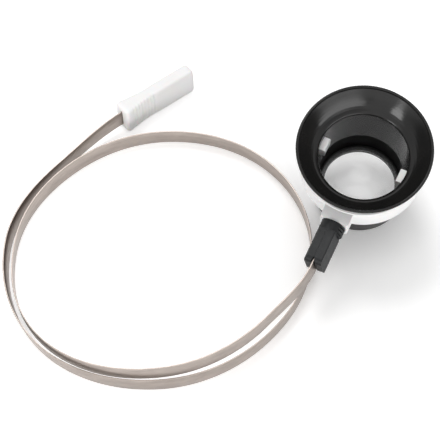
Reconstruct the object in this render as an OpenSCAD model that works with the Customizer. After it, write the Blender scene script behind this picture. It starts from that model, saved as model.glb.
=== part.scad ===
// Headband eye loupe, as it lies on a table.
// A black eyecup with its lens leans on its lower edge. A white ring under the flare holds it,
// and a friction swivel joins the ring to a small block. A flat spring-steel band starts in
// the block, runs round one and a half turns and ends in a soft sleeve.
// The loupe's own frame has its origin at the middle of the lens end, +Z up the optical axis
// and +X towards the lug. Millimetres throughout.

/* [Eyecup] */
// Outer radius of the rim
rim_r = 20; // [18:0.5:22]
// Height of the rim above the lens end
rim_z = 31.8; // [30:0.2:36]
// Radius of the round bead on the rim
bead_r = 0.45; // [0.35:0.05:1]
// Thickness of the wall at the barrel's mouth, where the flare ends inside
mouth_wall = 0.9; // [0.7:0.1:1.4]
// Depth of the flare, from the rim to the barrel's mouth
flare_depth = 5.9; // [4:0.1:7]
// Rounding between the flare and the barrel's mouth
mouth_round = 1; // [0.6:0.1:1.4]
// How far the bowl of the flare sinks below a straight cone
bowl_sag = 0.5; // [0.2:0.1:0.8]
// Where the bowl is deepest: halfway up at 1, nearer to the mouth below that
bowl_power = 0.65; // [0.5:0.05:1]

/* [Barrel] */
// Outer radius of the barrel
barrel_r = 14.2; // [14:0.1:15.2]
// Thickness of the barrel's wall just above the lens cell
barrel_wall = 1.9; // [1.6:0.1:2.2]
// How far the barrel is thicker where the collar sits on it
seat_step = 0.15; // [0.1:0.05:0.3]
// Width of each window that a tab of the collar snaps into
window_w = 5; // [4:0.2:6]
// Height of each window
window_h = 4.8; // [4:0.2:5.4]

/* [Lens] */
// Distance of the lens's edge from the barrel's outside
lens_inset = 2.5; // [2.4:0.1:3.2]
// Thickness of the lens at its edge
lens_edge = 1.8; // [1.4:0.1:2.2]
// Radius of curvature of both faces
lens_curve = 52; // [46:1:80]

/* [Lens cell] */
// How far the cell's flange lies inside the barrel's outside
cell_inset = 0.3; // [0.1:0.1:0.6]
// Height of the flange
cell_flange = 2.2; // [1.8:0.1:2.6]
// Chamfer on the flange's lower edge
cell_chamfer = 0.5; // [0.3:0.1:0.7]
// Height of the spigot that screws into the barrel
spigot_h = 2.2; // [2:0.1:4]
// Height of the ledge that the lens rests on
ledge_z = 1.8; // [1.7:0.1:2]
// How far the ledge reaches under the lens
ledge_w = 0.9; // [0.6:0.1:1.2]
// Height of the snap ring over the lens
snap_h = 0.7; // [0.5:0.1:0.9]

/* [Collar] */
// Width of the collar, from the barrel's outside to its own
collar_depth = 4.1; // [3.6:0.1:4.8]
// Height of the collar
collar_h = 7; // [6.4:0.2:7.4]
// Wall of the collar
collar_wall = 1.2; // [1:0.1:1.4]
// Ribs between the collar's two walls
collar_ribs = 9; // [5:2:13]
// How far the snap tabs' noses stand into the barrel
tab_reach = 1.1; // [0.6:0.1:1.4]
// Width of the lug that carries the swivel
lug_w = 8.6; // [8.2:0.2:10]
// How far the lug stands out from the collar
lug_out = 3.1; // [2.6:0.1:4]

/* [Swivel] */
// Height of the swivel's axis above the lens end
swivel_z = 20.6; // [20.2:0.1:21]
// Radius of the screw's shank
screw_r = 1.25; // [1:0.05:1.4]
// Radius of the screw's head
screw_head_r = 2.3; // [2.1:0.1:2.5]
// Height of the screw's head
screw_head_h = 1.2; // [1:0.1:1.3]
// Thickness of the friction washer
washer_t = 0.4; // [0.3:0.1:0.5]
// Radius of the grooved round head on the block
head_r = 3.8; // [3.7:0.1:4.4]
// Length of the grooved head
head_len = 3; // [2.8:0.2:4]

/* [Block] */
// Length of the block beyond its round head
block_len = 11; // [10:0.1:13]
// Width of the block across the band's faces
block_w = 5.4; // [4.6:0.2:6.4]
// Height of the block
block_h = 7.5; // [7.3:0.1:8.2]
// Chamfer along the block's outer edges
block_edge = 0.6; // [0.4:0.1:0.9]
// Rounding of the block's front corners, seen from the side
block_nose = 1.6; // [1:0.1:2]
// Roll of the block about the swivel's axis
block_roll = 12; // [0:1:20]

/* [Band] */
// Width of the steel band
band_w = 5.9; // [5:0.1:6]
// Thickness of the steel band
band_t = 0.4; // [0.3:0.05:0.5]

/* [End sleeve] */
// Length of the sleeve
sleeve_len = 27; // [24:0.5:32]
// Height of the sleeve
sleeve_h = 9.6; // [8:0.2:12]
// Thickness of the sleeve, away from its mouth
sleeve_t = 4.6; // [4:0.2:6]
// How far each side swells out towards the mouth
sleeve_flare = 1.1; // [0.6:0.1:1.4]
// Length of the part that swells
flare_len = 8.5; // [7:0.5:10]
// Rounding of the sleeve's ends
sleeve_round = 1.6; // [1:0.1:2]
// Rounding of the sleeve's long edges
sleeve_edge = 0.8; // [0.5:0.1:1.2]
// Grip ribs near the sleeve's mouth
sleeve_ribs = 8; // [4:1:10]

/* [Resting pose] */
// Angle by which the loupe leans on its lower edge
lean = 13.7; // [10:0.1:16]
// Direction in which the loupe leans, seen from above
lean_dir = 266; // [260:1:270]
// Outward lean of the end sleeve
sleeve_lean = 3; // [0:1:8]
// Direction in which the lug points, seen from above
lug_dir = 245; // [242:1:248]

/* [Hidden] */
$fn = 96;

// Clearances: loose parts, the swivel's running fit, pieces that lie face to face, band in slot
fit_gap = 0.1;
run_gap = 0.07;
face_gap = 0.05;
slot_gap = 0.05;
// Overlap that joins the solids of one piece
join = 0.2;
// How far the lug's top lies below the collar's
lug_drop = 0.2;
// Far enough to cut right through any wall
through = 10;

// The point on the floor that the loupe's lower edge rests on, from the coil's middle
foot = [58.8, 8.4, 0];

// The band's coil, from the block on: the radius of its lower edge every 45 degrees, clockwise.
// The last one only steers the coil's end
coil_step = 45;
coil_from = -45;
coil_radii = [44, 45.8, 47.2, 43.7, 40.3, 41.4, 44, 44.8, 44.1, 46.3, 48.3, 45.6, 43.6, 50];
// The coil's outward lean at the same places
coil_leans = [0, 2.5, 8, 0, 3, -4, -4, -2, 2, 3, 10, 10, -3, 0];
// Samples of the path between two of these places
coil_samples = 9;
// How far round the band still comes down from the block, and how sharply
fall_to = -165;
fall_power = 1.1;
// The free end: the arc that it leaves the coil on
tail_r = 126;
tail_len = 23.9;
tail_samples = 6;

function unit(v) = v / norm(v);
function mix(a, b, t) = a + (b - a) * t;
function heading(a) = [cos(a), sin(a), 0];
function arc(cx, cy, r, from, to, steps) =
    [for (i = [0:steps]) [cx + r * cos(mix(from, to, i / steps)), cy + r * sin(mix(from, to, i / steps))]];

// Where a direction and a point of the loupe's own frame come to lie
tip_axis = [-sin(lean_dir), cos(lean_dir), 0];
function tip(v) = v * cos(lean) + cross(tip_axis, v) * sin(lean)
    + tip_axis * (tip_axis * v) * (1 - cos(lean));
function turn_z(v, a) = [v.x * cos(a) - v.y * sin(a), v.x * sin(a) + v.y * cos(a), v.z];
function loupe_dir(v) = tip(turn_z(v, lug_dir));
function loupe_point(p) = foot + tip(turn_z(p, lug_dir) - foot_r * heading(lean_dir));

// Heights and radii that follow from the driving sizes
bore_r = barrel_r - barrel_wall;
mouth_r = barrel_r - mouth_wall;
seat_r = barrel_r + seat_step;
lens_r = barrel_r - lens_inset;
cell_r = barrel_r - cell_inset;
foot_r = cell_r - cell_chamfer;
collar_r = barrel_r + collar_depth;
tab_r = bore_r - tab_reach;
lug_reach = collar_r + lug_out;
mouth_z = rim_z - flare_depth;
spigot_r = bore_r + 0.15;
spigot_top = cell_flange + spigot_h;
cell_bore = lens_r + face_gap;
snap_r = lens_r - ledge_w - fit_gap;
snap_z = ledge_z + lens_edge + face_height(snap_r) + face_gap;
ledge_in = [lens_r - ledge_w, ledge_z - face_height(lens_r - ledge_w) - face_gap];
collar_z = swivel_z - collar_h / 2;
collar_top = collar_z + collar_h;
sleeve_in = seat_r + fit_gap;
sleeve_out = sleeve_in + collar_wall;
// Stations along the swivel's axis, from the optical axis outwards
seat_x = lug_reach - 2.9;
washer_x = seat_x - face_gap - washer_t;
screw_x = washer_x - face_gap - screw_head_h;
head_x = lug_reach + fit_gap;
block_x = head_x + head_len;
front_x = block_x + block_len;
cover_x = block_x + 1.3;
band_x = cover_x + 0.6;
screw_end = cover_x - 0.4;
peg_r = 0.8;
peg_end = block_w / 2 - 0.8;
pegs = [band_x + 2, band_x + 6];

// Eyecup and barrel, one moulding, with the windows for the collar's tabs
module eyecup() color("#141414") in_loupe() difference() {
    rotate_extrude() polygon(concat(
        [[barrel_r, cell_flange + face_gap], [spigot_r + fit_gap, cell_flange + face_gap],
         [spigot_r + fit_gap, spigot_top + fit_gap], [bore_r, spigot_top + fit_gap]],
        arc(mouth_r + mouth_round, mouth_z - mouth_round, mouth_round, 180, 128, 4),
        bowl(8),
        arc(rim_r - bead_r, rim_z - bead_r, bead_r, 140, -50, 10),
        under(6),
        [[seat_r, collar_z - 0.3], [barrel_r, collar_z - 0.4]]));
    for (side = [-1, 1])
        translate([0, side * barrel_r, swivel_z])
            cube([window_w, through / 2, window_h], center = true);
}

// Inside of the flare, from the barrel's mouth up to the bead
function bowl(steps) = let (a = [mouth_r + 0.9 * mouth_round, mouth_z + 0.2],
                            b = [rim_r - 2 * bead_r - 0.1, rim_z - bead_r - 0.15])
    [for (i = [0:steps])
        mix(a, b, i / steps) + [0, -bowl_sag * sin(180 * pow(i / steps, bowl_power))]];

// Underside of the flare, from the bead down to the barrel
function under(steps) = let (a = [rim_r - 0.5, rim_z - 2 * bead_r - 0.4],
                             b = [seat_r, mouth_z - 1.5])
    [for (i = [0:steps]) mix(a, b, i / steps) + [0, -0.4 * sin(180 * i / steps)]];

// Ring that the lens lies in, screwed into the barrel from below
module lens_cell() color("#1b1b1b") in_loupe() rotate_extrude() polygon([
    ledge_in, ledge_in - [0, 0.35], [cell_bore + 0.5, 0],
    [foot_r, 0], [cell_r, cell_chamfer], [cell_r, cell_flange - 0.4],
    [cell_r - 0.3, cell_flange], [spigot_r, cell_flange], [spigot_r, spigot_top - 0.3],
    [spigot_r - 0.3, spigot_top], [cell_bore, spigot_top], [cell_bore, ledge_z - face_gap]]);

// Biconvex lens
module lens() color("#dfe8ee") in_loupe() rotate_extrude() polygon(concat(
    [for (i = [0:14]) let (r = lens_r * i / 14) [r, ledge_z - face_height(r)]],
    [for (i = [14:-1:0]) let (r = lens_r * i / 14) [r, ledge_z + lens_edge + face_height(r)]]));

// How far a face of the lens stands out beyond its edge, at a distance from the axis
function face_height(r) = sqrt(pow(lens_curve, 2) - r * r)
    - sqrt(pow(lens_curve, 2) - pow(lens_r, 2));

// Split ring that snaps in over the lens
module snap_ring() color("#2a2a2a") in_loupe() translate([0, 0, snap_z]) rotate([0, 0, 100])
    rotate_extrude(angle = 345) translate([snap_r, 0]) square([cell_bore - face_gap - snap_r, snap_h]);

// White ring: two walls and a top web, ribs between them, two snap tabs and the lug
module collar_ring() color("#f2f2f0") in_loupe() difference() {
    union() {
        rotate_extrude() polygon([
            [sleeve_in, collar_z], [sleeve_out, collar_z], [sleeve_out, collar_top - collar_wall],
            [collar_r - collar_wall, collar_top - collar_wall], [collar_r - collar_wall, collar_z],
            [collar_r - 0.2, collar_z], [collar_r, collar_z + 0.2], [collar_r, collar_top - 0.5],
            [collar_r - 0.5, collar_top], [sleeve_in, collar_top]]);
        for (i = [1:collar_ribs])
            rotate([0, 0, 360 * i / (collar_ribs + 1)])
                translate([sleeve_out - join, -0.45, collar_z + 1])
                    cube([collar_r - collar_wall - sleeve_out + 2 * join, 0.9,
                          collar_h - 1 - collar_wall / 2]);
        for (side = [-1, 1]) rotate([0, 0, side * 90]) snap_tab();
        lug();
    }
    for (side = [-1, 1], cut = [-1, 1])
        rotate([0, 0, side * 90])
            translate([sleeve_in - through / 2 + 1.5, cut * tab_slot_y - 0.25, collar_z - 1])
                cube([through / 2, 0.5, collar_h - collar_wall]);
    on_swivel() {
        translate([0, 0, sleeve_in - 1]) cylinder(r = screw_head_r + 0.2, h = seat_x - sleeve_in + 1);
        cylinder(r = screw_r + run_gap, h = lug_reach + 1);
    }
}

tab_w = window_w - 0.8;
tab_slot_y = window_w / 2 + 0.3;

// Snap tab: a wedge-faced nose that fills the barrel's window
module snap_tab() {
    nose_h = window_h - 0.6;
    translate([0, tab_w / 2, swivel_z - nose_h / 2]) rotate([90, 0, 0]) linear_extrude(tab_w)
        polygon([[sleeve_in + join, 0], [bore_r, 0], [tab_r, 0.8], [tab_r, nose_h - 0.3],
                 [tab_r + 0.3, nose_h], [sleeve_in + join, nose_h]]);
}

// Square lug on the collar, with rounded upright edges
module lug() {
    edge = 0.6;
    translate([0, 0, collar_z]) linear_extrude(collar_h - lug_drop) union() {
        translate([sleeve_out - join, -lug_w / 2]) square([lug_reach - edge - sleeve_out + join, lug_w]);
        translate([sleeve_out, edge - lug_w / 2]) square([lug_reach - sleeve_out, lug_w - 2 * edge]);
        for (side = [-1, 1])
            translate([lug_reach - edge, side * (lug_w / 2 - edge)]) circle(edge);
    }
}

// Screw that the loupe turns on, put in from inside the collar
module swivel_screw() color("#b9bcc0") in_loupe() on_swivel() difference() {
    union() {
        translate([0, 0, screw_x]) cylinder(r = screw_head_r, h = screw_head_h);
        translate([0, 0, screw_x + 0.1]) cylinder(r = screw_r, h = screw_end - screw_x - 0.1);
    }
    for (a = [0, 90]) rotate([0, 0, a])
        translate([0, 0, screw_x]) cube([2.6, 0.5, 1.2], center = true);
}

// Washer between the screw's head and the lug
module friction_washer() color("#9a9da1") in_loupe() on_swivel()
    translate([0, 0, washer_x]) difference() {
        cylinder(r = screw_head_r, h = washer_t);
        translate([0, 0, -1]) cylinder(r = screw_r + face_gap, h = washer_t + 2);
    }

// The round head is flat on the cover's side, almost in line with the block
head_flat = block_w / 2 + 0.3;

// Block's half with the round grooved head
module swivel_block() color("#262628") in_block() difference() {
    union() {
        difference() {
            rotate([0, 90, 0]) rotate_extrude() polygon(head_outline());
            translate([head_x - 1, -2 * block_w - head_flat, -block_h])
                cube([head_len + 2, 2 * block_w, 2 * block_h]);
        }
        intersection() {
            block_shape();
            union() {
                translate([block_x - 1, 0, -block_h]) cube([block_len + 2, block_w, 2 * block_h]);
                translate([block_x - 1, -block_w, -block_h])
                    cube([cover_x - block_x + 1, 2 * block_w, 2 * block_h]);
            }
        }
        intersection() {
            translate([head_x, -block_w / 2, -block_h]) cube([head_len + join, block_w, 2 * block_h]);
            rotate([0, 90, 0]) cylinder(r = head_r, h = block_x + join);
        }
    }
    band_slot();
    rotate([0, 90, 0]) cylinder(r = screw_r + face_gap, h = screw_end + 0.2);
    for (x = pegs) translate([x, 0, 0]) rotate([-90, 0, 0])
        translate([0, 0, -1]) cylinder(r = peg_r + face_gap, h = peg_end + 1 + fit_gap);
}

// Rings of the round head, as radius and distance along the axis turned for rotate_extrude
function head_outline() = let (ring = head_len / 6, groove = 0.55)
    concat([[0, head_x]],
           [for (i = [0:2]) each
               [[head_r - (i == 0 ? 0.2 : 0), head_x + 2 * ring * i],
                [head_r, head_x + 2 * ring * i + (i == 0 ? 0.2 : 0)],
                [head_r, head_x + ring * (2 * i + 1.2)],
                [head_r - groove, head_x + ring * (2 * i + 1.3)],
                [head_r - groove, head_x + ring * (2 * i + 1.9)]]],
           [[head_r - groove, block_x + join], [0, block_x + join]]);

// Block's other half, which closes over the band
module block_cover() color("#232325") in_block() union() {
    difference() {
        intersection() {
            block_shape();
            translate([cover_x + face_gap, -block_w, -block_h])
                cube([block_len, block_w - face_gap, 2 * block_h]);
        }
        band_slot();
    }
    for (x = pegs) translate([x, -1, 0]) rotate([-90, 0, 0]) cylinder(r = peg_r, h = peg_end + 1);
}

// Outer shape of the closed block: chamfered along its length, rounded at its front
module block_shape() intersection() {
    translate([block_x, 0, 0]) rotate([90, 0, 90]) linear_extrude(block_len)
        polygon(let (w = block_w / 2, h = block_h / 2, e = block_edge)
            [[w, -h + e], [w, h - e / 2], [w - e / 2, h], [-w + e, h], [-w, h - e], [-w, -h + e],
             [-w + e, -h], [w - e, -h]]);
    translate([0, block_w, 0]) rotate([90, 0, 0]) linear_extrude(2 * block_w) union() {
        translate([block_x, -block_h / 2]) square([block_len - block_nose, block_h]);
        translate([block_x, block_nose - block_h / 2])
            square([block_len, block_h - 2 * block_nose]);
        for (side = [-1, 1])
            translate([front_x - block_nose, side * (block_h / 2 - block_nose)]) circle(block_nose);
    }
}

// Room for the band between the halves, with a mouth that opens towards the front
module band_slot() {
    slot_t = band_t + 2 * slot_gap;
    slot_h = band_w + 4 * slot_gap;
    translate([band_x - 0.3, -slot_t / 2, -slot_h / 2]) cube([block_len + 2, slot_t, slot_h]);
    translate([0, 0, -block_h]) linear_extrude(2 * block_h)
        polygon([[front_x - 1.8, 0], [front_x + 0.1, -0.7], [front_x + 0.1, 0.7]]);
}

// Points on the coil: place number n may be a fraction
function coil_angle(n) = coil_from - coil_step * n;
function spline(list, n) = let (last = len(list) - 1, i = min(floor(n), last - 1), t = n - i,
        a = list[max(i - 1, 0)], b = list[i], c = list[i + 1], d = list[min(i + 2, last)])
    b + t * ((c - a) / 2 + t * ((2 * a - 5 * b + 4 * c - d) + t * (3 * b - a - 3 * c + d)) / 2);
function out_at(n) = heading(coil_angle(n));
function coil_up(n) = [0, 0, 1] + tan(spline(coil_leans, n)) * out_at(n);
function fall(n) = let (from = atan2(mouth_point.y, mouth_point.x),
        left = (coil_angle(n) - fall_to) / (from - fall_to))
    left > 0 ? drop_z * pow(left, fall_power) : 0;
function coil_point(n) = spline(coil_radii, n) * out_at(n) + [0, 0, fall(n)]
    + band_w / 2 * unit(coil_up(n));

// Where the band leaves the block
block_up = loupe_dir([0, -sin(block_roll), cos(block_roll)]);
block_axis = loupe_dir([1, 0, 0]);
mouth_point = loupe_point([front_x, 0, swivel_z]);
drop_z = mouth_point.z - band_w / 2;

// From the block's mouth to the coil's first place, leaving and meeting in line
lead_samples = 7;
coil_start = coil_point(0);
lead_reach = norm(coil_start - mouth_point) / 3;
coil_start_dir = unit(coil_point(0.05) - coil_start);
function lead_point(t) = pow(1 - t, 3) * mouth_point
    + 3 * pow(1 - t, 2) * t * (mouth_point + lead_reach * block_axis)
    + 3 * (1 - t) * t * t * (coil_start - lead_reach * coil_start_dir) + t * t * t * coil_start;

// The free end: an arc that straightens out and lifts to the sleeve's middle height
last_place = len(coil_radii) - 2;
tail_start = coil_point(last_place);
tail_dir = let (v = tail_start - coil_point(last_place - 0.05)) atan2(v.y, v.x);
tail_turn = tail_len / tail_r * 180 / PI;
function tail_point(t) = tail_start
    + tail_r * (heading(tail_dir + 90 - tail_turn * t) - heading(tail_dir + 90))
    + [0, 0, (sleeve_mid - tail_start.z) * t * t * (3 - 2 * t)];
sleeve_mid = (sleeve_h / 2 - sleeve_edge) * cos(sleeve_lean)
    + (sleeve_t / 2 + sleeve_flare - sleeve_edge) * sin(sleeve_lean) + sleeve_edge;
sleeve_mouth = tail_point(1);
sleeve_dir = tail_dir - tail_turn;
band_end = sleeve_mouth + (sleeve_len - 2) * heading(sleeve_dir);
sleeve_up = [0, 0, cos(sleeve_lean)] + sin(sleeve_lean) * heading(sleeve_dir + 90);

// The whole path: each entry is a point on the band's middle line and its upward direction
band_path = concat(
    [[loupe_point([band_x, 0, swivel_z]), block_up]],
    [for (i = [0:lead_samples - 1]) let (t = i / lead_samples)
        [lead_point(t), mix(block_up, coil_up(0), t)]],
    [for (i = [0:last_place * coil_samples]) let (n = i / coil_samples) [coil_point(n), coil_up(n)]],
    [for (i = [1:tail_samples]) let (t = i / tail_samples)
        [tail_point(t), mix(coil_up(last_place), sleeve_up, t)]],
    [[band_end, sleeve_up]]);

// Cross-section of the band: a flat strip with eased edges, as sideways and upward parts
ease = band_t / 4;
band_section = let (t = band_t / 2, w = band_w / 2)
    [[t, w - ease], [t - ease, w], [ease - t, w], [-t, w - ease],
     [-t, ease - w], [ease - t, -w], [t - ease, -w], [t, ease - w]];

function path_dir(i) = unit(band_path[min(i + 1, len(band_path) - 1)][0] - band_path[max(i - 1, 0)][0]);
function band_ring(i) = let (along = path_dir(i), side = unit(cross(along, band_path[i][1])),
        up = cross(side, along))
    [for (s = band_section) band_path[i][0] + s.x * side + s.y * up];
band_points = [for (i = [0:len(band_path) - 1]) each band_ring(i)];

// Steel band, with two holes at its root for the cover's pegs
module headband() color("#a79d97") difference() {
    corners = len(band_section);
    rings = len(band_path);
    placed() polyhedron(band_points, concat(
        [[for (k = [0:corners - 1]) k]],
        [for (i = [0:rings - 2], k = [0:corners - 1]) let (a = i * corners, b = (k + 1) % corners)
            each [[a + k, a + corners + k, a + b], [a + b, a + corners + k, a + corners + b]]],
        [[for (k = [corners - 1:-1:0]) (rings - 1) * corners + k]]), convexity = 10);
    in_block() for (x = pegs) translate([x, 0, 0]) rotate([90, 0, 0])
        cylinder(r = peg_r + fit_gap, h = 2, center = true);
}

// Soft sleeve on the band's free end: it swells towards its mouth and has grip ribs there
module end_sleeve() color("#f7f7f5") placed() translate(sleeve_mouth) rotate([-sleeve_lean, 0, sleeve_dir])
    difference() {
        intersection() {
            translate([0, 0, -sleeve_h / 2]) linear_extrude(sleeve_h) union() {
                round_box(sleeve_len - 2 * sleeve_round, sleeve_t + 2 * sleeve_flare, sleeve_round);
                round_box(sleeve_len, sleeve_t, sleeve_round);
            }
            translate([0, sleeve_t, 0]) rotate([90, 0, 0]) linear_extrude(2 * sleeve_t)
                round_box(sleeve_len, sleeve_h, sleeve_round);
            union() {
                translate([flare_len - 1, 0, 0]) sleeve_bar(sleeve_len - flare_len + 1);
                for (side = [-1, 1])
                    translate([flare_len, 0, 0]) rotate([0, 0, side * flare_angle])
                        translate([-flare_len - 1, 0, 0]) sleeve_bar(flare_len + 1);
            }
        }
        translate([-1, -band_t / 2 - slot_gap, -band_w / 2 - slot_gap])
            cube([sleeve_len - 1.5 + 1, band_t + 2 * slot_gap, band_w + 2 * slot_gap]);
        for (side = [-1, 1], i = [1:sleeve_ribs]) let (x = sleeve_round + 1.2 * i)
            translate([x, side * (sleeve_t / 2 + tan(flare_angle) * max(0, flare_len - x) + 0.25), 0])
                cylinder(r = 0.45, h = sleeve_h - 2 * sleeve_round, center = true);
    }

flare_angle = atan(sleeve_flare / flare_len);

// Straight stretch of the sleeve with rounded long edges
module sleeve_bar(length) rotate([90, 0, 90]) linear_extrude(length)
    translate([-sleeve_t / 2, 0]) round_box(sleeve_t, sleeve_h, sleeve_edge);

// Flat outline of the sleeve: a rectangle from the origin along X with four round corners
module round_box(length, width, corner) {
    translate([corner, -width / 2]) square([length - 2 * corner, width]);
    translate([0, corner - width / 2]) square([length, width - 2 * corner]);
    for (x = [corner, length - corner], side = [-1, 1])
        translate([x, side * (width / 2 - corner)]) circle(corner);
}

// The origin lies under the middle of the whole footprint
rim_points = [for (a = [0:2:358]) loupe_point([rim_r * cos(a), rim_r * sin(a), rim_z - bead_r])];
sleeve_corners = [for (x = [0, sleeve_len], side = [-1, 1]) sleeve_mouth
    + (x == 0 ? sleeve_round / 3 : x - sleeve_round / 3) * heading(sleeve_dir)
    + side * (sleeve_t / 2 - sleeve_round / 3) * heading(sleeve_dir + 90)];
reach = concat(band_points, rim_points, sleeve_corners);
middle = [for (k = [0, 1]) let (v = [for (p = reach) p[k]]) (min(v) + max(v)) / 2];

module placed() translate([-middle.x, -middle.y, 0]) children();

// The loupe's own frame
module in_loupe() placed() translate(foot) rotate(lean, tip_axis)
    translate(-foot_r * heading(lean_dir)) rotate([0, 0, lug_dir]) children();

// The swivel's axis as +Z of the loupe's children, from the optical axis outwards
module on_swivel() translate([0, 0, swivel_z]) rotate([0, 90, 0]) children();

// The block's frame: its X runs along the swivel's axis
module in_block() in_loupe() translate([0, 0, swivel_z]) rotate([block_roll, 0, 0]) children();

eyecup();
lens_cell();
lens();
snap_ring();
collar_ring();
swivel_screw();
friction_washer();
swivel_block();
block_cover();
headband();
end_sleeve();
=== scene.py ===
"""Headband eye loupe on a white table: a black eyecup with its lens in a white ring, joined by a
swivel block to a flat spring-steel band that lies coiled and ends in a soft white sleeve.

Lengths of the object are in millimetres, as in the part's source, and become the scene's metres
at the last step. Lengths of the lamps, of the camera's clipping and in the materials' own inputs are
in metres.
"""
import math

import bmesh
import bpy
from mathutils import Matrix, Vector


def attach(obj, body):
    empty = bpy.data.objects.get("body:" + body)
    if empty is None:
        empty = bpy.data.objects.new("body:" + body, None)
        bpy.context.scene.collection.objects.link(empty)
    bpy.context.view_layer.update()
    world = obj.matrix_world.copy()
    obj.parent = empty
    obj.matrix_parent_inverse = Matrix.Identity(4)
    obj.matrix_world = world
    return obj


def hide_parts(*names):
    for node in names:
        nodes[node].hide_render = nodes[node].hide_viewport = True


MM = 0.001

# Edges sharper than this many degrees show as edges
SHARP_ANGLE = 40

# Where the source puts things, from the coil's middle: the middle of the footprint, and the block
MIDDLE = Vector((16.1021, 8.86256, 0))
BAND_ROOT = Vector((48.2596, -6.70695, 17.3503))
BLOCK_MOUTH = Vector((44.4306, -14.7132, 15.3382))
BLOCK_UP = Vector((-0.20474, -0.145346, 0.967965))
BLOCK_AXIS = Vector((-0.420765, -0.879811, -0.221107))

# The steel band, as in the source: radius of its lower edge and outward lean every 45 degrees,
# clockwise. The last of each only steers the curve's end. A place on the coil is a number of steps.
BAND_W, BAND_T = 5.9, 0.4
COIL_FROM, COIL_STEP = -45, 45
COIL_RADII = (44, 45.8, 47.2, 43.7, 40.3, 41.4, 44, 44.8, 44.1, 46.3, 48.3, 45.6, 43.6, 50)
COIL_LEANS = (0, 2.5, 8, 0, 3, -4, -4, -2, 2, 3, 10, 10, -3, 0)
COIL_END = len(COIL_RADII) - 2
FALL_TO, FALL_POWER = -165, 1.1
TAIL_R, TAIL_LEN = 126, 23.9

# A short way along the coil, to take its direction, and how many stations each stretch has
NEXT_TO = 0.05
LEAD_STATIONS, STEP_STATIONS, TAIL_STATIONS, SLEEVE_STATIONS = 24, 27, 16, 4

# The band's edges: how far they are eased, as a share of its thickness, and how far inside the
# sharp corner the middle of the easing lies, as a share of the easing
EASE, EASE_INSET = 0.25, 0.3

# The end sleeve, with each side swelling by FLARE towards its mouth, and its grip ribs. Its
# middle line is at the height SLEEVE_MID, and SLEEVE_LEAN is in degrees.
SLEEVE_LEN, SLEEVE_H, SLEEVE_T, SLEEVE_LEAN = 27, 9.6, 4.6, 3
SLEEVE_MID = 4.93059
FLARE, FLARE_LEN = 1.1, 8.5
END_ROUND = 1.2
RIBS, RIB_FIRST, RIB_PITCH, RIB_DEPTH = 8, 2.4, 1.2, 0.22

# The sleeve's slot: its gap round the band, its depth, its eased edge, and how far the band's end
# stays inside the sleeve's far end
SLOT_GAP, SLOT_DEPTH, SLOT_EASE, BAND_SHORT = 0.12, 2, 0.3, 2

# The sleeve's mesh: vertices round it, the power that makes its outline a rounded rectangle, and
# the parts of each rounded end, of each rib and of the plain length
SLEEVE_SIDES, CORNER_POWER = 96, 2 / 6
END_PARTS, RIB_PARTS, PLAIN_PARTS = 6, 8, 6

# The middle of the lens and the loupe's axis, in the row's frame, and the lens's radii between
# which painted shade makes it greyer
LENS_MIDDLE = Vector((43.56, 11.88, 5.8))
LOUPE_UP = Vector((-0.016521, -0.236261, 0.971549))
LENS_CLEAR_R, LENS_SHADED_R = 6.6, 8.2

# The bore is darkened with painted shade and made duller up to this height over the lens, with an
# edge that fades out, inside a radius within the barrel's wall. There its colour is scaled down
# as painted shade and its roughness is raised.
DULL_SHADE_HEIGHT, DULL_SHADE_EDGE, DULL_SHADE_RADIUS = 8.8, 0.3, 13.8
BORE_SHADE_TONE, DULL_ROUGHNESS = 0.12, 0.55

# Where the table's shadow is deepest: beside the block, under the loupe's near side
SHADOW_MIDDLE = Vector((40, -6, 0))

# The table's glow, painted light that pales the shadows away from their middle, rises from GLOW_LOW
# at GLOW_FROM from the shadow's middle to GLOW_HIGH at GLOW_TO
GLOW_LOW, GLOW_HIGH = 0.13, 1.0
GLOW_FROM, GLOW_TO = 12, 250

# From the table's middle to its sides, in metres, and how far it lies under the object
TABLE_REACH = 1.6
TABLE_DROP = 0.03

# The world's level, and each lamp: name, direction, distance, width, height (metres), and what it
# adds to a white sheet that faces it
WORLD_LEVEL = 0.43
LAMPS = (
    ("key", (-0.18, 0.5, 0.95), 1.2, 0.6, 0.6, 0.38),
    ("overhead", (0.05, -0.12, 1.0), 1.3, 0.6, 0.6, 0.12),
    ("front", (-0.45, -0.8, 0.5), 1.4, 1.8, 1.8, 0.24),
    ("right_panel", (0.6, -0.79, 0.14), 1.2, 1.8, 0.42, 0.58),
    ("left_panel", (-0.70, -0.65, 0.16), 1.2, 0.4, 0.36, 0.21),
)

# The camera that the photograph's ellipses give, in the row's frame
CAMERA_TARGET = Vector((1.298, 2.907, 0))
CAMERA_ELEVATION = 56
CAMERA_DISTANCE = 517.2
FOCAL_PIXELS, IMAGE_PIXELS, SENSOR_MM = 1700, 440, 36


def metres(v):
    """A vector in millimetres, in metres."""
    return Vector(v) * MM


def mix(a, b, t):
    """The value a share t of the way from a to b."""
    return a + (b - a) * t


def heading(degrees):
    """Level direction at an angle from +X."""
    angle = math.radians(degrees)
    return Vector((math.cos(angle), math.sin(angle), 0))


def grey(value, warmth=0.0):
    """Grey of a level, with more red and less blue where warmth is over 0."""
    return (value * (1 + warmth), value, value * (1 - warmth), 1)


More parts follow.
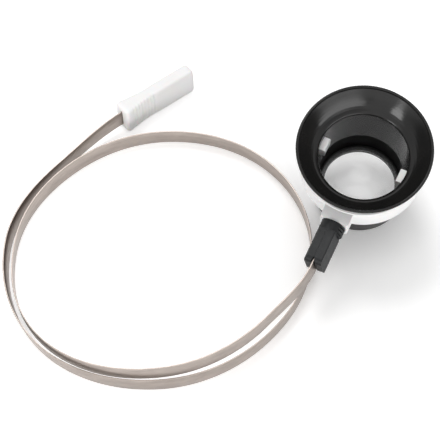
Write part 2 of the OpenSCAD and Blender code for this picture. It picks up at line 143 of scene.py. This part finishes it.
class Wiring:
    """A node tree with short helpers to add and join nodes."""

    def __init__(self, tree):
        self.nodes, self.links = tree.nodes, tree.links

    def add(self, kind, **settings):
        """A new node. Each setting is the value of an input or an attribute."""
        node = self.nodes.new(kind)
        for key, value in settings.items():
            if key in node.inputs:
                node.inputs[key].default_value = value
            else:
                setattr(node, key, value)
        return node

    def join(self, source, target):
        """Link an output to an input."""
        self.links.new(source, target)

    def number(self, operation, *values):
        """What a Math node gives for values that are numbers or sockets."""
        node = self.add("ShaderNodeMath", operation=operation)
        for socket, value in zip(node.inputs, values):
            if isinstance(value, (int, float)):
                socket.default_value = value
            else:
                self.join(value, socket)
        return node.outputs["Value"]

    def vector(self, operation, socket, fixed=None):
        """What a Vector Math node gives for a socket and, for most operations, a fixed vector."""
        node = self.add("ShaderNodeVectorMath", operation=operation)
        self.join(socket, node.inputs[0])
        if fixed is not None:
            node.inputs[1].default_value = fixed
        is_number = operation in ("DISTANCE", "DOT_PRODUCT", "LENGTH")
        return node.outputs["Value" if is_number else "Vector"]

    def span(self, value, low, high, start=0.3, end=0.7):
        """A number that goes from low to high while value goes from start to end."""
        node = self.add("ShaderNodeMapRange")
        node.inputs["From Min"].default_value = start
        node.inputs["From Max"].default_value = end
        node.inputs["To Min"].default_value = low
        node.inputs["To Max"].default_value = high
        self.join(value, node.inputs["Value"])
        return node.outputs["Result"]

    def shown_rays(self, *names):
        """1 for the rays that show a background: camera rays and the named ones."""
        path = self.add("ShaderNodeLightPath")
        total = path.outputs["Is Camera Ray"]
        for name in names:
            total = self.number("MAXIMUM", total, path.outputs[name])
        return total


class Shader(Wiring):
    """A material with one Principled shader."""

    def __init__(self, name):
        self.material = bpy.data.materials.new(name)
        self.material.use_nodes = True
        super().__init__(self.material.node_tree)
        self.bsdf = self.nodes["Principled BSDF"]
        self.output = self.nodes["Material Output"]

    def principled(self, **values):
        """Set inputs of the shader, with an underscore for each space in a name."""
        for key, value in values.items():
            self.bsdf.inputs[key.replace("_", " ")].default_value = value

    def place(self, which="Object", scale=(1, 1, 1)):
        """The point that is shaded, in one of the texture coordinates, scaled."""
        coords = self.add("ShaderNodeTexCoord")
        mapping = self.add("ShaderNodeMapping")
        mapping.inputs["Scale"].default_value = scale
        self.join(coords.outputs[which], mapping.inputs["Vector"])
        return mapping.outputs["Vector"]

    def noise(self, where, scale, detail=3.0, roughness=0.55):
        """A noise texture's value at a place."""
        node = self.add("ShaderNodeTexNoise")
        node.inputs["Scale"].default_value = scale
        node.inputs["Detail"].default_value = detail
        node.inputs["Roughness"].default_value = roughness
        self.join(where, node.inputs["Vector"])
        return node.outputs["Fac"]

    def ramp(self, value, low, high, start=0.3, end=0.7):
        """A colour that goes from low to high while value goes from start to end."""
        node = self.add("ShaderNodeValToRGB")
        node.color_ramp.elements[0].position = start
        node.color_ramp.elements[1].position = end
        node.color_ramp.elements[0].color = low
        node.color_ramp.elements[1].color = high
        self.join(value, node.inputs["Fac"])
        return node.outputs["Color"]

    def colour(self, value, low, high, start=0.3, end=0.7):
        """Base colour between two colours, by a value."""
        self.join(self.ramp(value, low, high, start, end), self.bsdf.inputs["Base Color"])

    def rough(self, value, low, high):
        """Roughness between two numbers, by a value."""
        self.join(self.span(value, low, high), self.bsdf.inputs["Roughness"])

    def bump(self, height, strength, distance):
        """Relief by a height, with its depth in millimetres."""
        node = self.add("ShaderNodeBump")
        node.inputs["Strength"].default_value = strength
        node.inputs["Distance"].default_value = distance * MM
        self.join(height, node.inputs["Height"])
        self.join(node.outputs["Normal"], self.bsdf.inputs["Normal"])

    def shade(self, share, first, second):
        """Shade with the first shader where share is 0 and with the second where it is 1."""
        node = self.add("ShaderNodeMixShader")
        self.join(share, node.inputs["Fac"])
        self.join(first, node.inputs[1])
        self.join(second, node.inputs[2])
        self.join(node.outputs["Shader"], self.output.inputs["Surface"])


def low_in_bore(look, where):
    """1 inside the barrel up to the painted shade's height over the lens, 0 elsewhere: where the bore
    has painted shade and more roughness.
    """
    from_lens = look.vector("SUBTRACT", where, metres(LENS_MIDDLE))
    height = look.vector("DOT_PRODUCT", from_lens, LOUPE_UP)
    radius = look.vector("LENGTH", look.vector("CROSS_PRODUCT", from_lens, LOUPE_UP))
    start, end = (DULL_SHADE_HEIGHT - DULL_SHADE_EDGE) * MM, (DULL_SHADE_HEIGHT + DULL_SHADE_EDGE) * MM
    inside = look.number("LESS_THAN", radius, DULL_SHADE_RADIUS * MM)
    return look.number("MULTIPLY", look.span(height, 1, 0, start, end), inside)


def black_gloss():
    """Moulded black plastic of the eyecup: soft gloss, faint orange peel, a few dull smears, and
    painted shade low in the bore, where it is also rougher."""
    look = Shader("eyecup_gloss")
    where = look.place()
    smears = look.noise(where, 130)
    peel = look.noise(where, 420, detail=2)
    shade_and_dull = low_in_bore(look, where)
    # Painted shade: the base colour is scaled down low in the bore
    tone = look.add("ShaderNodeVectorMath", operation="SCALE")
    look.join(look.ramp(smears, grey(0.010), grey(0.013, 0.04)), tone.inputs["Vector"])
    look.join(look.span(shade_and_dull, 1, BORE_SHADE_TONE, 0, 1), tone.inputs["Scale"])
    look.join(tone.outputs["Vector"], look.bsdf.inputs["Base Color"])
    gloss = look.span(smears, 0.13, 0.19)
    look.join(look.number("MULTIPLY_ADD", shade_and_dull, DULL_ROUGHNESS, gloss), look.bsdf.inputs["Roughness"])
    look.bump(peel, strength=0.02, distance=0.05)
    look.principled(Specular_IOR_Level=0.26)
    return look.material


def black_satin():
    """Moulded lens cell: satin black with a fine grain."""
    look = Shader("cell_satin")
    fine = look.noise(look.place(), 3000)
    look.colour(fine, grey(0.007), grey(0.012))
    look.rough(fine, 0.32, 0.45)
    look.bump(fine, strength=0.06, distance=0.03)
    look.principled(Specular_IOR_Level=0.35)
    return look.material


def clear_glass():
    """The lens, a little greyer towards its edge with painted shade. Light passes it without a hard
    shadow.
    """
    look = Shader("lens_glass")
    where = look.place()
    smear = look.noise(where, 90, detail=2)
    look.principled(Transmission_Weight=1.0, IOR=1.49)
    away = look.vector("DISTANCE", where, metres(LENS_MIDDLE))
    # Painted shade: the lens greys towards its edge
    look.colour(away, grey(0.985), grey(0.90), LENS_CLEAR_R * MM, LENS_SHADED_R * MM)
    look.rough(smear, 0.0, 0.012)
    rays = look.add("ShaderNodeLightPath")
    clear = look.add("ShaderNodeBsdfTransparent")
    look.shade(rays.outputs["Is Shadow Ray"], look.bsdf.outputs["BSDF"], clear.outputs["BSDF"])
    return look.material


def white_plastic():
    """White moulded plastic of the ring, with a slight satin grain."""
    look = Shader("collar_plastic")
    fine = look.noise(look.place(), 1800)
    look.colour(fine, grey(0.82, 0.004), grey(0.85, 0.003))
    look.rough(fine, 0.36, 0.46)
    look.bump(fine, strength=0.04, distance=0.03)
    look.principled(Specular_IOR_Level=0.45, Subsurface_Weight=0.08, Subsurface_Scale=0.001)
    return look.material


def dark_plastic(name, low, high):
    """Dark grey moulded plastic of the block, slightly rubbed, between two levels."""
    look = Shader(name)
    where = look.place()
    broad = look.noise(where, 420)
    fine = look.noise(where, 4200, detail=2)
    look.colour(broad, grey(low, -0.06), grey(high, -0.06))
    look.rough(fine, 0.38, 0.52)
    look.bump(fine, strength=0.08, distance=0.03)
    look.principled(Specular_IOR_Level=0.22)
    return look.material


def rolled_steel():
    """Spring steel strip: dull warm grey, fine rolling lines along the band. Its UV map holds the
    distance along the band and round its section, in metres."""
    look = Shader("band_steel")
    lines = look.noise(look.place("UV", (30, 2400, 1)), 1, detail=5, roughness=0.65)
    mottle = look.noise(look.place("UV", (160, 500, 1)), 1)
    tone = look.add("ShaderNodeMix", Factor=0.5)
    look.join(mottle, tone.inputs["A"])
    look.join(lines, tone.inputs["B"])
    look.colour(tone.outputs["Result"], (0.29, 0.252, 0.229, 1), (0.46, 0.404, 0.368, 1))
    look.rough(lines, 0.30, 0.44)
    look.bump(lines, strength=0.12, distance=0.01)
    look.principled(Metallic=1.0)
    return look.material


def bright_steel(name, level):
    """Small steel parts, of a level of grey."""
    look = Shader(name)
    fine = look.noise(look.place(), 5200)
    look.colour(fine, grey(level * 0.9), grey(level))
    look.rough(fine, 0.22, 0.36)
    look.bump(fine, strength=0.05, distance=0.01)
    look.principled(Metallic=1.0)
    return look.material


def soft_white():
    """Soft white sleeve: matt, faintly dimpled."""
    look = Shader("sleeve_rubber")
    where = look.place()
    fine = look.noise(where, 1500)
    broad = look.noise(where, 150, detail=2)
    look.colour(broad, grey(0.89, 0.004), grey(0.92, 0.003))
    look.rough(fine, 0.5, 0.64)
    look.bump(fine, strength=0.06, distance=0.05)
    look.principled(Specular_IOR_Level=0.3, Subsurface_Weight=0.15, Subsurface_Scale=0.0015)
    return look.material


def spline(values, n):
    """The source's spline through a list, at place n."""
    last = len(values) - 1
    i = min(int(n), last - 1)
    t = n - i
    a, b, c, d = (values[j] for j in (max(i - 1, 0), i, i + 1, min(i + 2, last)))
    bend = (2 * a - 5 * b + 4 * c - d) + t * (3 * b - a - 3 * c + d)
    return b + t * ((c - a) / 2 + t * bend / 2)


def outward(n):
    """Level direction out of the coil at place n."""
    return heading(COIL_FROM - COIL_STEP * n)


def coil_up(n):
    """The band's upward direction at place n, leaning outwards."""
    return Vector((0, 0, 1)) + math.tan(math.radians(spline(COIL_LEANS, n))) * outward(n)


def coil_fall(n):
    """How far the band's lower edge is over the table at place n."""
    start = math.degrees(math.atan2(BLOCK_MOUTH.y, BLOCK_MOUTH.x))
    left = (COIL_FROM - COIL_STEP * n - FALL_TO) / (start - FALL_TO)
    return (BLOCK_MOUTH.z - BAND_W / 2) * left ** FALL_POWER if left > 0 else 0


def coil_point(n):
    """The middle of the band at place n."""
    return (spline(COIL_RADII, n) * outward(n) + Vector((0, 0, coil_fall(n)))
            + BAND_W / 2 * coil_up(n).normalized())


def bezier(points, t):
    """A point on the curve that four points steer, at a share t of its way."""
    a, b, c, d = points
    return (1 - t) ** 3 * a + 3 * (1 - t) ** 2 * t * b + 3 * (1 - t) * t * t * c + t ** 3 * d


def lead_path():
    """Stations from the band's root in the block to the coil."""
    start = coil_point(0)
    start_dir = (coil_point(NEXT_TO) - start).normalized()
    reach = (start - BLOCK_MOUTH).length / 3
    steering = (BLOCK_MOUTH, BLOCK_MOUTH + reach * BLOCK_AXIS, start - reach * start_dir, start)
    path = [(BAND_ROOT, BLOCK_UP)]
    for i in range(LEAD_STATIONS):
        t = i / LEAD_STATIONS
        path.append((bezier(steering, t), BLOCK_UP.lerp(coil_up(0), t)))
    return path


def tail_path():
    """Stations from the coil's end to the sleeve's mouth, and the sleeve's heading in degrees."""
    start = coil_point(COIL_END)
    ahead = start - coil_point(COIL_END - NEXT_TO)
    start_dir = math.degrees(math.atan2(ahead.y, ahead.x))
    turn = math.degrees(TAIL_LEN / TAIL_R)
    sleeve_dir = start_dir - turn
    lean = math.radians(SLEEVE_LEAN)
    sleeve_up = Vector((0, 0, math.cos(lean))) + math.sin(lean) * heading(sleeve_dir + 90)
    path = []
    for i in range(1, TAIL_STATIONS + 1):
        t = i / TAIL_STATIONS
        rise = (SLEEVE_MID - start.z) * t * t * (3 - 2 * t)
        arc = TAIL_R * (heading(start_dir + 90 - turn * t) - heading(start_dir + 90))
        path.append((start + arc + Vector((0, 0, rise)), coil_up(COIL_END).lerp(sleeve_up, t)))
    return path, sleeve_dir


def band_path():
    """Stations of the band: the source's path with more of them. Each is a point on the middle
    line and the band's upward direction. Also the sleeve's mouth, heading and upward direction."""
    path = lead_path()
    for i in range(COIL_END * STEP_STATIONS + 1):
        n = i / STEP_STATIONS
        path.append((coil_point(n), coil_up(n)))
    tail, sleeve_dir = tail_path()
    path += tail
    mouth, sleeve_up = path[-1]
    for i in range(1, SLEEVE_STATIONS + 1):
        inside = (SLEEVE_LEN - BAND_SHORT) * i / SLEEVE_STATIONS
        path.append((mouth + inside * heading(sleeve_dir), sleeve_up))
    return path, mouth, sleeve_dir, sleeve_up


def strip_section():
    """Cross-section of the band: flat faces and eased edges."""
    side, top, ease = BAND_T / 2, BAND_W / 2, BAND_T * EASE
    inset = ease * EASE_INSET
    right = [(side, top - ease), (side - inset, top - inset), (side - ease, top)]
    left = [(-x, z) for x, z in reversed(right)]
    low = [(-x, -z) for x, z in right + left]
    return right + left + [(-side, 0)] + low + [(side, 0)]


def distances_round(section):
    """The distance round a closed outline at each of its points and back at the first."""
    around = [0]
    for a, b in zip(section, section[1:] + section[:1]):
        around.append(around[-1] + math.dist(a, b))
    return around


def join_rings(bm, rings):
    """Faces between successive rings of vertices. Gives each face with its corners, as numbers
    of a ring and of a vertex on it."""
    count = len(rings[0])
    sides = []
    for i in range(len(rings) - 1):
        for k in range(count):
            corners = ((i, k), (i, k + 1), (i + 1, k + 1), (i + 1, k))
            sides.append((bm.faces.new([rings[a][b % count] for a, b in corners]), corners))
    return sides


def close_ends(bm, rings):
    """Faces over the first and the last ring, and all normals outwards."""
    bm.faces.new(rings[0])
    bm.faces.new(list(reversed(rings[-1])))
    bmesh.ops.recalc_face_normals(bm, faces=bm.faces)


def new_object(name, bm, material):
    """An object in the scene from a finished mesh, shaded smooth but for its sharp edges."""
    mesh = bpy.data.meshes.new(name)
    bm.to_mesh(mesh)
    bm.free()
    obj = bpy.data.objects.new(name, mesh)
    bpy.context.scene.collection.objects.link(obj)
    obj.data.materials.append(material)
    mesh.shade_smooth()
    mesh.set_sharp_from_angle(angle=math.radians(SHARP_ANGLE))
    return obj


def make_band(path, material):
    """The steel strip along its path, with the UV map that rolled_steel() reads."""
    bm = bmesh.new()
    uv = bm.loops.layers.uv.new("along_across")
    section = strip_section()
    around = distances_round(section)
    rings, along = [], []
    travelled = 0
    for i, (point, up) in enumerate(path):
        ahead = path[min(i + 1, len(path) - 1)][0] - path[max(i - 1, 0)][0]
        side = ahead.cross(up).normalized()
        over = side.cross(ahead).normalized()
        if i:
            travelled += (point - path[i - 1][0]).length
        along.append(travelled)
        rings.append([bm.verts.new(metres(point - MIDDLE + x * side + z * over)) for x, z in section])
    for face, corners in join_rings(bm, rings):
        for loop, (a, b) in zip(face.loops, corners):
            loop[uv].uv = (along[a] * MM, around[b] * MM)
    close_ends(bm, rings)
    return new_object("steel_band", bm, material)


def sleeve_half_sizes(x):
    """Half the sleeve's thickness and height at a distance from its mouth."""
    near_end = min(x, SLEEVE_LEN - x)
    inset = 0
    if near_end < END_ROUND:
        inset = END_ROUND - math.sqrt(END_ROUND ** 2 - (END_ROUND - near_end) ** 2)
    half_t = SLEEVE_T / 2 + FLARE * max(0, 1 - x / FLARE_LEN) - inset
    place = (x - RIB_FIRST) / RIB_PITCH
    if 0 < place < RIBS:
        half_t -= RIB_DEPTH * (0.5 - 0.5 * math.cos(2 * math.pi * place))
    return half_t, SLEEVE_H / 2 - inset


def sleeve_stations():
    """Distances from the sleeve's mouth that catch its rounded ends and its ribs."""
    ribs_end = RIB_FIRST + RIBS * RIB_PITCH
    plain_end = SLEEVE_LEN - END_ROUND
    turns = [math.radians(90 * i / END_PARTS) for i in range(END_PARTS + 1)]
    bends = [END_ROUND * (1 - math.cos(a)) for a in turns]
    ribs = [RIB_FIRST + RIB_PITCH * i / RIB_PARTS for i in range(RIB_PARTS * RIBS + 1)]
    plain = [mix(ribs_end, plain_end, i / PLAIN_PARTS) for i in range(1, PLAIN_PARTS)]
    return bends + ribs + plain + [SLEEVE_LEN - x for x in reversed(bends)]


def squared(x):
    """A sine or cosine, drawn out so that the two together make a rounded rectangle."""
    return math.copysign(abs(x) ** CORNER_POWER, x)


def make_sleeve(mouth, direction, up, material):
    """The soft sleeve: a tube that swells towards its ribbed mouth, with rounded ends."""
    along = heading(direction)
    side = up.cross(along).normalized()
    bm = bmesh.new()

    def ring(x, half_t, half_h):
        """A rounded rectangle across the sleeve."""
        out = []
        for k in range(SLEEVE_SIDES):
            angle = 2 * math.pi * k / SLEEVE_SIDES
            y, z = half_t * squared(math.cos(angle)), half_h * squared(math.sin(angle))
            out.append(bm.verts.new(metres(mouth - MIDDLE + x * along + y * side + z * up)))
        return out

    slot_t, slot_h = BAND_T / 2 + SLOT_GAP, BAND_W / 2 + SLOT_GAP
    rings = [ring(SLOT_DEPTH, slot_t, slot_h), ring(SLOT_EASE, slot_t, slot_h)]
    rings.append(ring(0, slot_t + SLOT_EASE, slot_h + SLOT_EASE))
    rings += [ring(x, *sleeve_half_sizes(x)) for x in sleeve_stations()]
    join_rings(bm, rings)
    close_ends(bm, rings)
    return new_object("soft_sleeve", bm, material)


def table_white():
    """Pale table. Rays that show the background see it whiter, with a painted glow that pales the
    shadows more away from the shadow's middle."""
    look = Shader("table_white")
    look.principled(Base_Color=grey(0.8), Roughness=0.9, Specular_IOR_Level=0.1)
    seen = look.add("ShaderNodeBsdfDiffuse")
    seen.inputs["Color"].default_value = grey(0.96)
    glow = look.add("ShaderNodeEmission")
    glow.inputs["Color"].default_value = (1, 0.995, 0.99, 1)
    # Painted light: the glow grows away from the shadow's middle, paling the shadows there
    away = look.vector("DISTANCE", look.place(), metres(SHADOW_MIDDLE))
    strength = look.span(away, GLOW_LOW, GLOW_HIGH, GLOW_FROM * MM, GLOW_TO * MM)
    look.join(strength, glow.inputs["Strength"])
    both = look.add("ShaderNodeAddShader")
    look.join(seen.outputs["BSDF"], both.inputs[0])
    look.join(glow.outputs["Emission"], both.inputs[1])
    shown = look.shown_rays("Is Glossy Ray", "Is Transmission Ray")
    look.shade(shown, look.bsdf.outputs["BSDF"], both.outputs["Shader"])
    return look.material


def make_floor():
    """The table's top."""
    bm = bmesh.new()
    bmesh.ops.create_grid(bm, x_segments=1, y_segments=1, size=TABLE_REACH)
    floor = new_object("table", bm, table_white())
    floor.location.z = -TABLE_DROP * MM


def make_world(level):
    """Even light all round, which rays that show the background see as white."""
    world = bpy.data.worlds.new("studio")
    bpy.context.scene.world = world
    world.use_nodes = True
    wiring = Wiring(world.node_tree)
    background = wiring.nodes["Background"]
    background.inputs["Color"].default_value = (1, 1, 1, 1)
    shown = wiring.shown_rays("Is Glossy Ray", "Is Transmission Ray")
    wiring.join(wiring.span(shown, level, 1.0, 0, 1), background.inputs["Strength"])


def area_lamp(name, toward, distance, width, height, share):
    """An oval soft box in the given direction. share is what it adds to a white sheet that
    faces it."""
    data = bpy.data.lights.new(name, "AREA")
    data.shape = "ELLIPSE"
    data.size, data.size_y = width, height
    data.energy = share * math.pi ** 2 * distance ** 2
    lamp = bpy.data.objects.new(name, data)
    bpy.context.scene.collection.objects.link(lamp)
    place = Vector(toward).normalized() * distance
    lamp.location = place
    lamp.rotation_euler = (-place).to_track_quat("-Z", "Y").to_euler()
    # Else the key glares in the lens
    lamp.visible_transmission = name != "key"


def make_camera():
    """The camera of the photograph, level from left to right."""
    data = bpy.data.cameras.new("camera")
    data.sensor_width = SENSOR_MM
    data.lens = FOCAL_PIXELS / IMAGE_PIXELS * SENSOR_MM
    data.clip_start, data.clip_end = 0.01, 20
    camera = bpy.data.objects.new("camera", data)
    bpy.context.scene.collection.objects.link(camera)
    angle = math.radians(CAMERA_ELEVATION)
    offset = Vector((0, -math.cos(angle), math.sin(angle))) * CAMERA_DISTANCE
    camera.location = metres(CAMERA_TARGET + offset)
    camera.rotation_euler = (math.radians(90 - CAMERA_ELEVATION), 0, 0)
    bpy.context.scene.camera = camera


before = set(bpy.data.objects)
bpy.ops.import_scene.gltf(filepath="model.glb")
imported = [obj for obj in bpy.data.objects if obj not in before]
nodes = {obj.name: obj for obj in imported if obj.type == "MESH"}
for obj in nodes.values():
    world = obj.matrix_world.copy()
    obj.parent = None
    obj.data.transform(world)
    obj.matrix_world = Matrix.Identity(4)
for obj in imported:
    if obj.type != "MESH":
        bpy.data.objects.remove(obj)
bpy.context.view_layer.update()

screw_steel = bright_steel("screw_steel", 0.62)
looks = {
    "eyecup": black_gloss(),
    "lens_cell": black_satin(),
    "lens": clear_glass(),
    "snap_ring": bright_steel("ring_steel", 0.12),
    "collar_ring": white_plastic(),
    "swivel_screw": screw_steel,
    "friction_washer": screw_steel,
    "swivel_block": dark_plastic("block_plastic", 0.011, 0.017),
    "block_cover": dark_plastic("cover_plastic", 0.010, 0.015),
}
for name, material in looks.items():
    nodes[name].data.materials.clear()
    nodes[name].data.materials.append(material)

path, sleeve_mouth, sleeve_dir, sleeve_up = band_path()
band = make_band(path, rolled_steel())
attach(band, "band")
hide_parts("headband")
sleeve = make_sleeve(sleeve_mouth, sleeve_dir, sleeve_up, soft_white())
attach(sleeve, "band")
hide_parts("end_sleeve")

make_floor()
make_world(WORLD_LEVEL)
for lamp in LAMPS:
    area_lamp(*lamp)
make_camera()

view = bpy.context.scene.view_settings
view.view_transform = "Standard"
